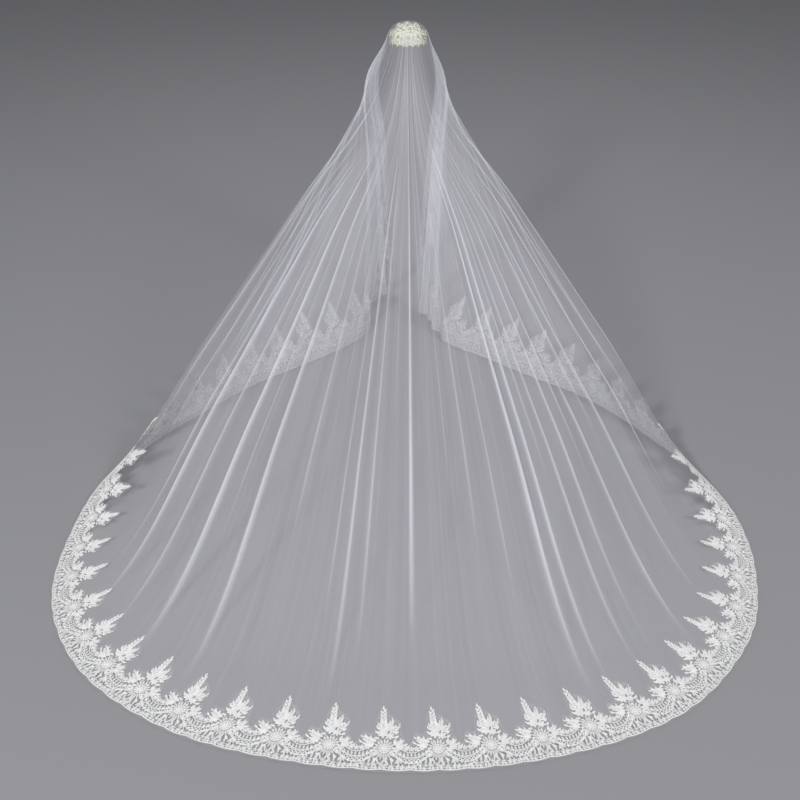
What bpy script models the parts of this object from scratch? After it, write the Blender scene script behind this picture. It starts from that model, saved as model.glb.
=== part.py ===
"""Cathedral bridal veil with a floral headpiece, draped as it is worn.

One cut of tulle is pinned over the headpiece, runs over the shoulders and is drawn out behind
into a long train. A peaked lace edging is sewn on top of it along the front edges and the hem.
Metres, +Z up. The origin is the crown of the wearer's head, who faces +Y; the train runs to -Y.

The tulle is worked out in two steps. The flat cut is a plain outline on the cutting table, and
every straight line on it from the pin at the hairline to the outline is one fall line. FALLS
says, line by line, how the cloth leaves the head, passes the shoulder and reaches the hem.
"""

from collections import namedtuple
from math import cos, pi, radians, sin

import bmesh
import bpy
import numpy as np
from mathutils import Vector

# ---------------------------------------------------------------- driving dimensions (metres)
COLLECTION = "bridal_veil"
CROWN_UP = 1.684            # crown of the head above the floor that the train lies on
TULLE_WALL = 0.0012
LACE_WALL = 0.0012
SEAM = 0.0003               # gap between two pieces that meet
CROWN_SEAM = 0.0006         # the crown is coarser than the falls below it, so it stops shorter
LACE_RISE = 0.0003          # lace moved out from the tulle

HEAD_CENTRE_UP = 1.585      # centre of the round that the tulle makes over the headpiece
HEAD_ROUND = Vector((0.124, 0.130, 0.135))   # its half width, half depth and height
HEAD_BULGE = 2.4            # roundness of the head and cap: 2 is an ellipsoid, more is fuller
PIN_ELEVATION = 50.0        # degrees above level, at the front, where the tulle is pinned

# The flat cut: straight top edge through the pin, straight sides, half-ellipse train end.
CUT_HALF_WIDTH = 1.72
CUT_LENGTH = 4.12
CUT_END = 1.37              # length of the elliptical end
CUT_CORNER = 0.32           # radius of the two front corners

LACE_DEPTH = 0.15           # the closed part of the edging, up from the hem
LACE_PEAK = 0.28            # to the tips of its peaks
BAND_DEPTH = 0.30           # row of the tulle just inside the peaks
PEAKS_EACH_SIDE = 25        # lace repeats from the middle of the train to a front corner
FRONT_ANGLE = 78.0          # fall lines beyond this angle belong to the front edges
FRONT_LINES = (84.0, 90.0)
LACE_START = 0.33           # share of the front edge, from the pin, where the edging begins

# Where the stretches of tulle meet: fall-line angles, and shares of each line's length.
SIDE_ANGLE = 57.0
BACK_ANGLE = 21.0
NECK_LENGTH = 0.36          # from the pin over the head to the neck, along a fall line
CROWN_ROWS = (0.18, 0.34, 0.5, 0.66, 0.82, 1.0)    # shares of NECK_LENGTH
FALL_ROWS = (0.0, 0.04, 0.09, 0.16, 0.26, 0.38, 0.50, 0.61, 0.71, 0.80, 0.87, 0.94, 1.0)
TRAIN_ROW = 8               # the row of the falls where the train's own stretch begins

# ---------------------------------------------------------------- how the cloth falls
# angle: of the line on the flat cut, from straight back, degrees, + to the wearer's right
# turn, rise: where the line leaves the head, degrees round from the back and above level
# side, back, up: where it passes the shoulder or neck; up is above the floor
# sag: how far it hangs below straight; land: how much of it lies on the floor
# hem_side, hem_back, hem_up: its end
Fall = namedtuple("Fall", "angle turn rise side back up sag land hem_side hem_back hem_up")
FALLS = (
    Fall(-90.0, -118, 12, -0.165, -0.085, 1.420, 0.00, 0.02, -0.078, -0.138, 0.340),
    Fall(-88.0, -116, 13, -0.170, -0.083, 1.420, 0.00, 0.02, -0.086, -0.136, 0.180),
    Fall(-84.4, -112, 15, -0.185, -0.078, 1.430, 0.00, 0.02, -0.108, -0.110, 0.060),
    Fall(-79.5, -107, 17, -0.205, -0.060, 1.440, 0.00, 0.02, -0.165, -0.045, 0.012),
    Fall(-73.6, -100, 19, -0.220, -0.020, 1.445, 0.00, 0.02, -0.265, 0.130, 0.004),
    Fall(-65.7, -90, 21, -0.222, 0.015, 1.445, 0.00, 0.02, -0.225, 0.410, 0.004),
    Fall(-59.4, -82, 22, -0.218, 0.035, 1.445, 0.00, 0.03, -0.355, 0.620, 0.004),
    Fall(-52.1, -73, 23, -0.211, 0.055, 1.445, 0.01, 0.03, -0.605, 0.850, 0.004),
    Fall(-45.6, -64, 24, -0.200, 0.075, 1.440, 0.02, 0.04, -0.875, 1.090, 0.004),
    Fall(-40.5, -57, 25, -0.188, 0.095, 1.440, 0.02, 0.05, -1.095, 1.360, 0.004),
    Fall(-36.9, -51, 26, -0.176, 0.115, 1.440, 0.02, 0.07, -1.275, 1.590, 0.004),
    Fall(-32.6, -45, 27, -0.158, 0.150, 1.435, 0.03, 0.12, -1.475, 1.960, 0.004),
    Fall(-28.1, -38, 28, -0.136, 0.190, 1.430, 0.04, 0.22, -1.525, 2.400, 0.004),
    Fall(-24.2, -32, 29, -0.116, 0.220, 1.430, 0.04, 0.28, -1.495, 2.730, 0.004),
    Fall(-18.6, -24, 31, -0.089, 0.250, 1.425, 0.05, 0.34, -1.295, 3.120, 0.004),
    Fall(-12.2, -16, 33, -0.060, 0.280, 1.420, 0.05, 0.40, -0.905, 3.420, 0.004),
    Fall(-5.5, -7, 35, -0.028, 0.298, 1.420, 0.05, 0.44, -0.425, 3.570, 0.004),
    Fall(0.0, 0, 36, 0.000, 0.302, 1.420, 0.05, 0.46, -0.010, 3.610, 0.004),
    Fall(7.1, 9, 35, 0.036, 0.295, 1.420, 0.05, 0.44, 0.505, 3.550, 0.004),
    Fall(10.8, 14, 33, 0.054, 0.285, 1.420, 0.05, 0.42, 0.765, 3.470, 0.004),
    Fall(14.6, 19, 32, 0.071, 0.270, 1.420, 0.05, 0.38, 1.015, 3.340, 0.004),
    Fall(18.4, 24, 31, 0.088, 0.252, 1.425, 0.05, 0.34, 1.225, 3.140, 0.004),
    Fall(22.1, 29, 30, 0.105, 0.234, 1.430, 0.04, 0.30, 1.385, 2.900, 0.004),
    Fall(24.8, 33, 29, 0.116, 0.216, 1.430, 0.04, 0.27, 1.455, 2.690, 0.004),
    Fall(28.0, 38, 28, 0.131, 0.190, 1.430, 0.04, 0.22, 1.500, 2.420, 0.004),
    Fall(31.1, 43, 27, 0.144, 0.162, 1.435, 0.03, 0.16, 1.485, 2.140, 0.004),
    Fall(33.8, 47, 27, 0.154, 0.142, 1.435, 0.03, 0.11, 1.400, 1.870, 0.004),
    Fall(36.9, 51, 26, 0.164, 0.118, 1.440, 0.02, 0.07, 1.265, 1.630, 0.004),
    Fall(41.1, 58, 25, 0.175, 0.094, 1.440, 0.02, 0.05, 1.095, 1.360, 0.004),
    Fall(44.5, 63, 24, 0.182, 0.078, 1.440, 0.02, 0.04, 0.940, 1.180, 0.004),
    Fall(49.5, 70, 23, 0.190, 0.060, 1.445, 0.01, 0.03, 0.715, 1.000, 0.004),
    Fall(56.7, 79, 22, 0.197, 0.040, 1.445, 0.00, 0.03, 0.455, 0.770, 0.004),
    Fall(63.6, 87, 21, 0.201, 0.022, 1.445, 0.00, 0.02, 0.240, 0.590, 0.004),
    Fall(68.8, 94, 20, 0.202, 0.000, 1.445, 0.00, 0.02, 0.180, 0.450, 0.004),
    Fall(75.0, 102, 18, 0.198, -0.030, 1.445, 0.00, 0.02, 0.150, 0.300, 0.004),
    Fall(79.5, 107, 17, 0.188, -0.060, 1.440, 0.00, 0.02, 0.110, 0.235, 0.012),
    Fall(84.4, 112, 15, 0.172, -0.078, 1.430, 0.00, 0.02, 0.080, 0.190, 0.060),
    Fall(88.0, 116, 13, 0.160, -0.083, 1.420, 0.00, 0.02, 0.066, 0.150, 0.180),
    Fall(90.0, 118, 12, 0.155, -0.085, 1.420, 0.00, 0.02, 0.060, 0.100, 0.340),
)
# The largest folds: ridges that stand out of the cloth along a fall line.
# angle and half_width in degrees on the flat cut, height in metres at its fullest,
# start and end as shares of the line's length
Fold = namedtuple("Fold", "angle half_width height start end")
FOLDS = (
    Fold(-48.0, 3.2, 0.020, 0.15, 0.95),
    Fold(-40.0, 2.6, 0.016, 0.12, 0.90),
    Fold(-32.0, 2.4, 0.018, 0.20, 0.93),
    Fold(-20.5, 2.0, 0.020, 0.15, 0.93),
    Fold(-12.0, 1.9, 0.018, 0.25, 0.90),
    Fold(-4.5, 1.8, 0.016, 0.12, 0.85),
    Fold(0.5, 1.7, 0.014, 0.15, 0.80),
    Fold(9.5, 1.9, 0.022, 0.12, 0.93),
    Fold(15.5, 2.0, 0.020, 0.20, 0.93),
    Fold(23.5, 2.3, 0.018, 0.15, 0.93),
    Fold(32.5, 2.4, 0.016, 0.20, 0.90),
    Fold(40.0, 3.0, 0.018, 0.12, 0.92),
    Fold(50.0, 3.2, 0.018, 0.15, 0.95),
)

# ---------------------------------------------------------------- headpiece
CAP_INNER = Vector((0.098, 0.104, 0.108))    # half width, half depth, height of the cap's hollow
CAP_WALL = 0.004
CAP_SEGMENTS = 52
CAP_RINGS = 26
CAP_LOW = 14.0              # degrees above level where the cap ends
BLOSSOM_HEIGHT = 0.0175
BLOSSOM_SEAT = 0.00015      # gap under a blossom
# One row for each ring of blossoms, from the top down.
Ring = namedtuple("Ring", "elevation count radius turn")
BLOSSOM_RINGS = (
    Ring(90.0, 1, 0.024, 0.0),
    Ring(62.0, 6, 0.026, 10.0),
    Ring(34.0, 10, 0.026, 0.0),
)
BLOSSOM_SEGMENTS = 8
BLOSSOM_RINGS_CUT = 5

# ---------------------------------------------------------------- colours
# name: (colour, roughness)
TULLE_LOOK = ("tulle", (0.86, 0.86, 0.89, 1.0), 0.75)
LACE_LOOK = ("lace", (0.90, 0.90, 0.88, 1.0), 0.70)
CAP_LOOK = ("cap_base", (0.82, 0.82, 0.70, 1.0), 0.80)
BLOSSOM_LOOK = ("blossom", (0.88, 0.89, 0.74, 1.0), 0.65)

# ---------------------------------------------------------------- how finely the cloth is measured
RAY_SAMPLES = 400           # points that a fall line is measured with
OUTLINE_SAMPLES = 3000      # points that the outline of the cut is measured with
HEAD_SAMPLES = 9            # points of a fall line where it lies on the head
ANGLE_STEP = 0.05           # degrees, for the slope of the cloth across the lines
SHARE_STEP = 0.002          # share of a line, for the slope along it
TINY = 1e-9                 # smaller than any length here: keeps divisions finite, joins nothing

FLAT_LANDING = 0.25         # a line that lands for this long, or longer, lands flat
UPPER_SAG = 0.9             # sag a third of the way down, as a share of the sag at two thirds
FOLD_STEEPNESS = 0.12       # most height of a fold, as a share of its width
FOLD_FULLNESS = 0.7         # below 1, a fold keeps its height over more of its length


# ---------------------------------------------------------------- flat cut
def reach(angle, inset=0.0):
    """Length on the flat cut from the pin to the outline moved in by inset."""
    turn = radians(abs(angle))
    half = CUT_HALF_WIDTH - inset
    end = CUT_END - inset
    straight = CUT_LENGTH - CUT_END
    side = half / max(sin(turn), TINY)
    if side * cos(turn) < CUT_CORNER:
        return corner_reach(turn, CUT_CORNER - inset)
    if side * cos(turn) <= straight:
        return side
    # the half-ellipse: ((r sin)/half)^2 + ((r cos - straight)/end)^2 = 1
    a = (sin(turn) / half) ** 2 + (cos(turn) / end) ** 2
    b = -2 * cos(turn) * straight / end**2
    c = (straight / end) ** 2 - 1
    return (-b + (b * b - 4 * a * c) ** 0.5) / (2 * a)


def corner_reach(turn, radius):
    """Length from the pin to the round of a front corner."""
    centre_x = CUT_HALF_WIDTH - CUT_CORNER
    centre_y = CUT_CORNER
    along = centre_x * sin(turn) + centre_y * cos(turn)
    off = centre_x**2 + centre_y**2 - along**2
    return along + max(radius**2 - off, 0.0) ** 0.5


def hem_angles():
    """Angles of the fall lines that end at the peaks and valleys of the lace."""
    tries = np.linspace(0.0, FRONT_ANGLE, OUTLINE_SAMPLES)
    reaches = np.array([reach(a) for a in tries])
    x = reaches * np.sin(np.radians(tries))
    y = reaches * np.cos(np.radians(tries))
    along = np.concatenate([[0.0], np.cumsum(np.hypot(np.diff(x), np.diff(y)))])
    ends = np.linspace(0.0, along[-1], 2 * PEAKS_EACH_SIDE + 1)
    half = np.interp(ends, along, tries)
    return [-a for a in half[:0:-1]] + list(half)


# ---------------------------------------------------------------- draped cloth
def slopes(x, y):
    """Slopes for a smooth curve through unevenly spaced points."""
    step = np.diff(x)[:, None]
    rate = np.diff(y, axis=0) / step
    inner = (rate[:-1] * step[1:] + rate[1:] * step[:-1]) / (step[1:] + step[:-1])
    return np.vstack([rate[:1], inner, rate[-1:]])


def smooth(x, y, at):
    """Cubic curve through the points (x, y), read at the values at."""
    m = slopes(x, y)
    i = np.clip(np.searchsorted(x, at, side="right") - 1, 0, len(x) - 2)
    h = (x[i + 1] - x[i])[:, None]
    t = (at - x[i])[:, None] / h
    start = (1 + 2 * t) * (1 - t) ** 2 * y[i] + t * (1 - t) ** 2 * h * m[i]
    finish = t * t * (3 - 2 * t) * y[i + 1] + t * t * (t - 1) * h * m[i + 1]
    return start + finish


def head_direction(turn, rise):
    """Unit vector (side, back, up) from the head's centre."""
    turn = radians(turn)
    rise = radians(rise)
    return np.array([sin(turn) * cos(rise), cos(turn) * cos(rise), sin(rise)])


def unit(v):
    return v / np.linalg.norm(v)


def bulged(way):
    """Unit vectors moved out to the head's fuller round."""
    return way / (np.abs(way) ** HEAD_BULGE).sum(axis=-1, keepdims=True) ** (1 / HEAD_BULGE)


FALL_TABLE = np.array(FALLS)


def fall_line(angle):
    """Points (side, back, up) evenly spaced along one fall line, pin to hem."""
    f = Fall(*smooth(FALL_TABLE[:, 0], FALL_TABLE, np.array([angle]))[0])
    pin = head_direction(180.0, PIN_ELEVATION)
    leave = head_direction(f.turn, f.rise)
    sweep = np.arccos(np.clip(pin @ leave, -1.0, 1.0))
    k = np.linspace(0.0, 1.0, HEAD_SAMPLES)[:, None]
    over = (np.sin((1 - k) * sweep) * pin + np.sin(k * sweep) * leave) / np.sin(sweep)
    over = bulged(over) * np.array(HEAD_ROUND) + np.array([0.0, 0.0, HEAD_CENTRE_UP])

    shoulder = np.array([f.side, f.back, f.up])
    hem = np.array([f.hem_side, f.hem_back, f.hem_up])
    back_along = shoulder - hem
    back_along[2] *= max(1.0 - f.land / FLAT_LANDING, 0.0)
    landing = hem + unit(back_along) * f.land
    sag = np.array([0.0, 0.0, f.sag])
    third = (landing - shoulder) / 3
    upper = shoulder + third - sag * UPPER_SAG
    lower = landing - third - sag
    points = np.vstack([over, shoulder, upper, lower, landing, hem])

    chord = np.concatenate([[0.0], np.cumsum(np.linalg.norm(np.diff(points, axis=0), axis=1))])
    fine = smooth(chord, points, np.linspace(0.0, chord[-1], RAY_SAMPLES))
    length = np.concatenate([[0.0], np.cumsum(np.linalg.norm(np.diff(fine, axis=0), axis=1))])
    even = np.linspace(0.0, length[-1], RAY_SAMPLES)
    return np.stack([np.interp(even, length, fine[:, i]) for i in range(3)], axis=-1)


LINES = {}


def smooth_point(angle, share):
    """A point of the cloth without its folds, in the part's frame."""
    angle = round(min(max(angle, -90.0), 90.0), 4)
    if angle not in LINES:
        LINES[angle] = fall_line(angle)
    at = min(max(share, 0.0), 1.0) * (RAY_SAMPLES - 1)
    low = min(int(at), RAY_SAMPLES - 2)
    side, back, up = LINES[angle][low] + (LINES[angle][low + 1] - LINES[angle][low]) * (at - low)
    return Vector((side, -back, up - CROWN_UP))


def outward(angle, share):
    """Unit vector out of the cloth, away from the wearer."""
    share = min(max(share, 5 * SHARE_STEP), 1.0 - SHARE_STEP)
    angle = min(max(angle, ANGLE_STEP - 90.0), 90.0 - ANGLE_STEP)
    across = smooth_point(angle + ANGLE_STEP, share) - smooth_point(angle - ANGLE_STEP, share)
    along = smooth_point(angle, share + SHARE_STEP) - smooth_point(angle, share - SHARE_STEP)
    return along.cross(across).normalized()


def fold_height(angle, share):
    """How far the largest folds stand out here; a fold is never steeper than its room allows."""
    total = 0.0
    for fold in FOLDS:
        off = abs(angle - fold.angle) / fold.half_width
        if off < 1.0 and fold.start < share < fold.end:
            run = (share - fold.start) / (fold.end - fold.start)
            edges = [smooth_point(fold.angle + s * fold.half_width, share) for s in (-1, 1)]
            room = (edges[1] - edges[0]).length * FOLD_STEEPNESS
            height = min(fold.height, room) * sin(pi * run) ** FOLD_FULLNESS
            total += height * (0.5 + 0.5 * cos(pi * off))
    return total


def cloth_point(angle, share):
    return smooth_point(angle, share) + outward(angle, share) * fold_height(angle, share)


# ---------------------------------------------------------------- the grid of fall lines and rows
HEM_ANGLES = hem_angles()
ANGLES = [-a for a in reversed(FRONT_LINES)] + HEM_ANGLES + list(FRONT_LINES)
FRONT_COUNT = len(FRONT_LINES)
MIDDLE = len(ANGLES) // 2


def row_shares(angle):
    """Shares of a fall line at the rows of the falls, then at the lace's two depths."""
    full = reach(angle)
    neck = NECK_LENGTH / full
    if abs(angle) <= FRONT_ANGLE:
        band = reach(angle, BAND_DEPTH) / full
        closed = reach(angle, LACE_DEPTH) / full
    else:
        band = 1.0 - BAND_DEPTH / full
        closed = 1.0 - LACE_DEPTH / full
    return [neck + (band - neck) * r for r in FALL_ROWS] + [closed, 1.0]


SHARES = [row_shares(a) for a in ANGLES]
ROWS = len(FALL_ROWS) + 2
BAND_ROW = ROWS - 3
CLOSED_ROW = ROWS - 2
HEM_ROW = ROWS - 1
GRID = [[cloth_point(a, s) for s in shares] for a, shares in zip(ANGLES, SHARES)]
OUT = [[outward(a, s) for s in shares] for a, shares in zip(ANGLES, SHARES)]


def column_at(angle):
    """The fall line nearest to an angle, on an even count from the middle."""
    near = min(range(len(ANGLES)), key=lambda i: abs(ANGLES[i] - angle))
    return near - (near - MIDDLE) % 2


def is_peak(column):
    return (column - MIDDLE) % 2 == 1


# ---------------------------------------------------------------- meshes
def make_material(look):
    name, colour, roughness = look
    material = bpy.data.materials.get(name)
    if material is None:
        material = bpy.data.materials.new(name)
        material.use_nodes = True
        shader = material.node_tree.nodes["Principled BSDF"]
        shader.inputs["Base Color"].default_value = colour
        shader.inputs["Roughness"].default_value = roughness
        shader.inputs["Metallic"].default_value = 0.0
    return material


def add_object(name, mesh, look):
    obj = bpy.data.objects.new(name, mesh)
    mesh.materials.append(make_material(look))
    bpy.data.collections[COLLECTION].objects.link(obj)
    return obj


def new_surface():
    """An empty mesh whose points also carry the way out of the cloth."""
    bm = bmesh.new()
    bm.verts.layers.float_vector.new("out")
    return bm


def add_point(bm, point, out):
    vertex = bm.verts.new(point)
    vertex[bm.verts.layers.float_vector["out"]] = out
    return vertex


def add_wall(name, bm, look, wall):
    """An open surface extruded into a closed wall, outward, or inward where wall is negative."""
    out = bm.verts.layers.float_vector["out"]
    made = bmesh.ops.extrude_face_region(bm, geom=bm.faces[:], use_keep_orig=True)
    for vertex in (g for g in made["geom"] if isinstance(g, bmesh.types.BMVert)):
        vertex.co += vertex[out] * wall
    bmesh.ops.recalc_face_normals(bm, faces=bm.faces[:])
    mesh = bpy.data.meshes.new(name)
    bm.to_mesh(mesh)
    bm.free()
    return add_object(name, mesh, look)


def quad_faces(bm, grid, column, row):
    """Two triangles; their diagonal starts at the lace peak's fall line."""
    a = grid[column, row]
    b = grid[column + 1, row]
    c = grid[column + 1, row + 1]
    d = grid[column, row + 1]
    if is_peak(column):
        return bm.faces.new((a, c, b)), bm.faces.new((a, d, c))
    return bm.faces.new((a, d, b)), bm.faces.new((b, d, c))


def pulled_in(grid, columns, rows, cut_columns, cut_rows):
    """Moves the border of a stretch back by half a seam, so that stretches don't touch."""
    for key, inner in border_moves(columns, rows, cut_columns, cut_rows):
        vertex = grid[key]
        vertex.co += (grid[inner].co - vertex.co).normalized() * (SEAM / 2)


def border_moves(columns, rows, cut_columns, cut_rows):
    first, last = columns
    top, bottom = rows
    for end, step in ((first, 1), (last, -1)):
        if end in cut_columns:
            for row in range(top, bottom + 1):
                yield (end, row), (end + step, row)
    for end, step in ((top, 1), (bottom, -1)):
        if end in cut_rows:
            for column in range(first, last + 1):
                yield (column, end), (column, end + step)


def add_tulle(name, columns, rows):
    """The stretch of tulle between two fall lines and two rows."""
    bm = new_surface()
    first, last = columns
    top, bottom = rows
    grid = {}
    for column in range(first, last + 1):
        for row in range(top, bottom + 1):
            grid[column, row] = add_point(bm, GRID[column][row], OUT[column][row])
    for column in range(first, last):
        for row in range(top, bottom):
            quad_faces(bm, grid, column, row)
    inner_columns = {c for c in columns if 0 < c < len(ANGLES) - 1}
    inner_rows = {r for r in rows if r < HEM_ROW}
    pulled_in(grid, columns, rows, inner_columns, inner_rows)
    return add_wall(name, bm, TULLE_LOOK, -TULLE_WALL)


def add_crown():
    """The round of tulle over the headpiece, on every other fall line, from the pin down."""
    bm = new_surface()
    lines = range(0, len(ANGLES), 2)
    pin_way = Vector(head_direction(180.0, PIN_ELEVATION))
    pin = add_point(bm, smooth_point(0.0, 0.0), Vector((pin_way.x, -pin_way.y, pin_way.z)))
    rings = []
    for row in CROWN_ROWS:
        ring = []
        for column in lines:
            length = NECK_LENGTH * row - (CROWN_SEAM if row == 1.0 else 0.0)
            share = length / reach(ANGLES[column])
            point = smooth_point(ANGLES[column], share)
            ring.append(add_point(bm, point, outward(ANGLES[column], share)))
        rings.append(ring)
    for left, right in zip(rings[0], rings[0][1:]):
        bm.faces.new((pin, left, right))
    for upper, lower in zip(rings, rings[1:]):
        for i in range(len(upper) - 1):
            bm.faces.new((upper[i], lower[i], upper[i + 1]))
            bm.faces.new((upper[i + 1], lower[i], lower[i + 1]))
    return add_wall("tulle_crown", bm, TULLE_LOOK, -TULLE_WALL)


def add_lace_hem(name, columns):
    """The edging along the hem: a closed band with a pointed peak on every other line."""
    bm = new_surface()
    first, last = columns
    peak_share = (LACE_PEAK - LACE_DEPTH) / (BAND_DEPTH - LACE_DEPTH)
    grid = {}
    for column in range(first, last + 1):
        for row in (CLOSED_ROW, HEM_ROW):
            grid[column, row] = add_point(bm, raised(column, row), OUT[column][row])
        if is_peak(column):
            low = raised(column, CLOSED_ROW)
            tip = low + (raised(column, BAND_ROW) - low) * peak_share
            grid[column, BAND_ROW] = add_point(bm, tip, OUT[column][CLOSED_ROW])
    for column in range(first, last):
        quad_faces(bm, grid, column, CLOSED_ROW)
        left = grid[column, CLOSED_ROW]
        right = grid[column + 1, CLOSED_ROW]
        tip = grid[column if is_peak(column) else column + 1, BAND_ROW]
        bm.faces.new((tip, left, right))
    pulled_in(grid, columns, (CLOSED_ROW, HEM_ROW), set(columns), set())
    return add_wall(name, bm, LACE_LOOK, LACE_WALL)


def raised(column, row):
    """A point of the tulle moved out, for what lies on it."""
    return GRID[column][row] + OUT[column][row] * LACE_RISE


def front_start_row():
    """The first row of the falls whose front-edge point is past the start of the edging."""
    return next(r for r in range(ROWS) if SHARES[0][r] >= LACE_START)


def add_lace_front(name, edge_column, inner_column):
    """The edging down one front edge and round its corner."""
    bm = new_surface()
    step = 1 if inner_column > edge_column else -1
    columns = sorted((edge_column, inner_column))
    rows = (front_start_row(), HEM_ROW)
    grid = {}
    for column in range(columns[0], columns[1] + 1):
        for row in range(rows[0], rows[1] + 1):
            grid[column, row] = add_point(bm, raised(column, row), OUT[column][row])
    for column in range(columns[0], columns[1]):
        for row in range(rows[0], rows[1]):
            quad_faces(bm, grid, column, row)
    for row in range(rows[0], rows[1] + 1):
        vertex = grid[inner_column, row]
        inner = grid[inner_column - step, row]
        vertex.co += (inner.co - vertex.co).normalized() * (SEAM / 2)
    return add_wall(name, bm, LACE_LOOK, LACE_WALL)


# ---------------------------------------------------------------- headpiece
def add_cap():
    """The stiffened cap that the blossoms are sewn to: a turned profile, stretched to a head."""
    mesh = bpy.data.meshes.new("headpiece_cap")
    obj = add_object("headpiece_cap", mesh, CAP_LOOK)
    bm = bmesh.new()
    bmesh.ops.create_uvsphere(bm, u_segments=CAP_SEGMENTS, v_segments=CAP_RINGS, radius=1.0)
    low = sin(radians(CAP_LOW))
    bmesh.ops.bisect_plane(
        bm, geom=bm.verts[:] + bm.edges[:] + bm.faces[:], dist=TINY,
        plane_co=(0.0, 0.0, low), plane_no=(0.0, 0.0, -1.0), clear_outer=True,
    )
    for vertex in bm.verts:
        vertex.co = Vector(v * s for v, s in zip(bulged(np.array(vertex.co)), CAP_INNER))
    bm.to_mesh(mesh)
    bm.free()
    obj.location = (0.0, 0.0, HEAD_CENTRE_UP - CROWN_UP)
    wall = obj.modifiers.new("wall", "SOLIDIFY")
    wall.thickness = CAP_WALL
    wall.offset = 1.0
    mesh.shade_smooth()


def cap_outside(turn, elevation):
    """Point and outward vector on the cap's outside; turn is from the back, degrees."""
    size = CAP_INNER + Vector((CAP_WALL,) * 3)
    turn = radians(turn)
    rise = radians(elevation)
    way = bulged(np.array((sin(turn) * cos(rise), -cos(turn) * cos(rise), sin(rise))))
    slope = np.sign(way) * np.abs(way) ** (HEAD_BULGE - 1)
    point = Vector(w * s for w, s in zip(way, size))
    normal = Vector(w / s for w, s in zip(slope, size)).normalized()
    return point + Vector((0.0, 0.0, HEAD_CENTRE_UP - CROWN_UP)), normal


def add_blossom(name, turn, elevation, radius):
    """One fabric blossom, as the low round that its petals fill."""
    mesh = bpy.data.meshes.new(name)
    obj = add_object(name, mesh, BLOSSOM_LOOK)
    bm = bmesh.new()
    bmesh.ops.create_uvsphere(
        bm, u_segments=BLOSSOM_SEGMENTS, v_segments=BLOSSOM_RINGS_CUT, radius=1.0
    )
    for vertex in bm.verts:
        vertex.co.x *= radius
        vertex.co.y *= radius
        vertex.co.z *= BLOSSOM_HEIGHT / 2
    bm.to_mesh(mesh)
    bm.free()
    point, normal = cap_outside(turn, elevation)
    obj.location = point + normal * (BLOSSOM_HEIGHT / 2 + BLOSSOM_SEAT)
    obj.rotation_euler = normal.to_track_quat("Z", "Y").to_euler()
    mesh.shade_smooth()


def add_headpiece():
    add_cap()
    number = 0
    for ring in BLOSSOM_RINGS:
        for i in range(ring.count):
            number += 1
            turn = ring.turn + 360.0 * i / ring.count
            add_blossom(f"blossom_{number:02d}", turn, ring.elevation, ring.radius)


# ---------------------------------------------------------------- the veil
def clear_scene():
    for obj in list(bpy.data.objects):
        bpy.data.objects.remove(obj, do_unlink=True)


def build():
    clear_scene()
    collection = bpy.data.collections.new(COLLECTION)
    bpy.context.scene.collection.children.link(collection)

    end = len(ANGLES) - 1
    left_side = column_at(-SIDE_ANGLE)
    left_back = column_at(-BACK_ANGLE)
    right_back = column_at(BACK_ANGLE)
    right_side = column_at(SIDE_ANGLE)

    add_crown()
    add_tulle("tulle_front_left", (0, left_side), (0, HEM_ROW))
    add_tulle("tulle_side_left", (left_side, left_back), (0, HEM_ROW))
    add_tulle("tulle_back", (left_back, right_back), (0, TRAIN_ROW))
    add_tulle("tulle_train", (left_back, right_back), (TRAIN_ROW, HEM_ROW))
    add_tulle("tulle_side_right", (right_back, right_side), (0, HEM_ROW))
    add_tulle("tulle_front_right", (right_side, end), (0, HEM_ROW))

    add_lace_front("lace_front_left", 0, FRONT_COUNT)
    add_lace_hem("lace_side_left", (FRONT_COUNT, left_back))
    add_lace_hem("lace_train_left", (left_back, MIDDLE))
    add_lace_hem("lace_train_right", (MIDDLE, right_back))
    add_lace_hem("lace_side_right", (right_back, end - FRONT_COUNT))
    add_lace_front("lace_front_right", end, end - FRONT_COUNT)

    add_headpiece()


build()
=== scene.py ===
"""Bridal veil: tulle, corded lace edging and a floral cap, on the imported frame."""

from collections import namedtuple
from math import cos, pi, radians, sin

import bpy
import numpy as np
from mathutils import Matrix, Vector


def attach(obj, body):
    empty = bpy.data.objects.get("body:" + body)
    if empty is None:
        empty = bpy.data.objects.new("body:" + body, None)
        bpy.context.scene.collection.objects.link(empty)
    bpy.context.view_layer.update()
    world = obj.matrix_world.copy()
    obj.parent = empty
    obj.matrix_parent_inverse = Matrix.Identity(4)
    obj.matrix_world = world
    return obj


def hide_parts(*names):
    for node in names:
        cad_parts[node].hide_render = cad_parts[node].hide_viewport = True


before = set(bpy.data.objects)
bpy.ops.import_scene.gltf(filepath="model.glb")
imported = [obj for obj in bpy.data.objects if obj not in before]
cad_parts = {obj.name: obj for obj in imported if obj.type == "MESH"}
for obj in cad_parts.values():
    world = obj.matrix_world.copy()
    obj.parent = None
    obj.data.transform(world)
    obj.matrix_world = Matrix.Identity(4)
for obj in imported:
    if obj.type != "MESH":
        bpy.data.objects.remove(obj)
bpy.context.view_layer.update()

# ---- the drape (as in the CAD, metres)
CROWN_UP = 1.684            # crown of the head above the floor
FLOOR = -CROWN_UP
FLOOR_GAP = 0.0015          # lowest that the tulle lies over the floor
FLAT_HEM = 0.004            # the hem over the floor where the train lies flat
HEAD_CENTRE_UP = 1.585
HEAD_ROUND = np.array([0.124, 0.130, 0.135])
HEAD_BULGE = 2.4            # 2 is an ellipsoid, more is fuller
PIN_ELEVATION = 50.0        # degrees above level, at the front hairline
CUT_HALF_WIDTH = 1.72
CUT_LENGTH = 4.12
CUT_END = 1.37              # length of the half-ellipse that ends the train
CUT_CORNER = 0.32           # radius of the front corners
PEAKS_EACH_SIDE = 25        # lace repeats from the middle of the train to the front edge's foot
FLAT_LANDING = 0.25         # a line with this much on the floor lands level
UPPER_SAG = 0.9             # sag of a line's upper third as a share of its lower one
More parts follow.
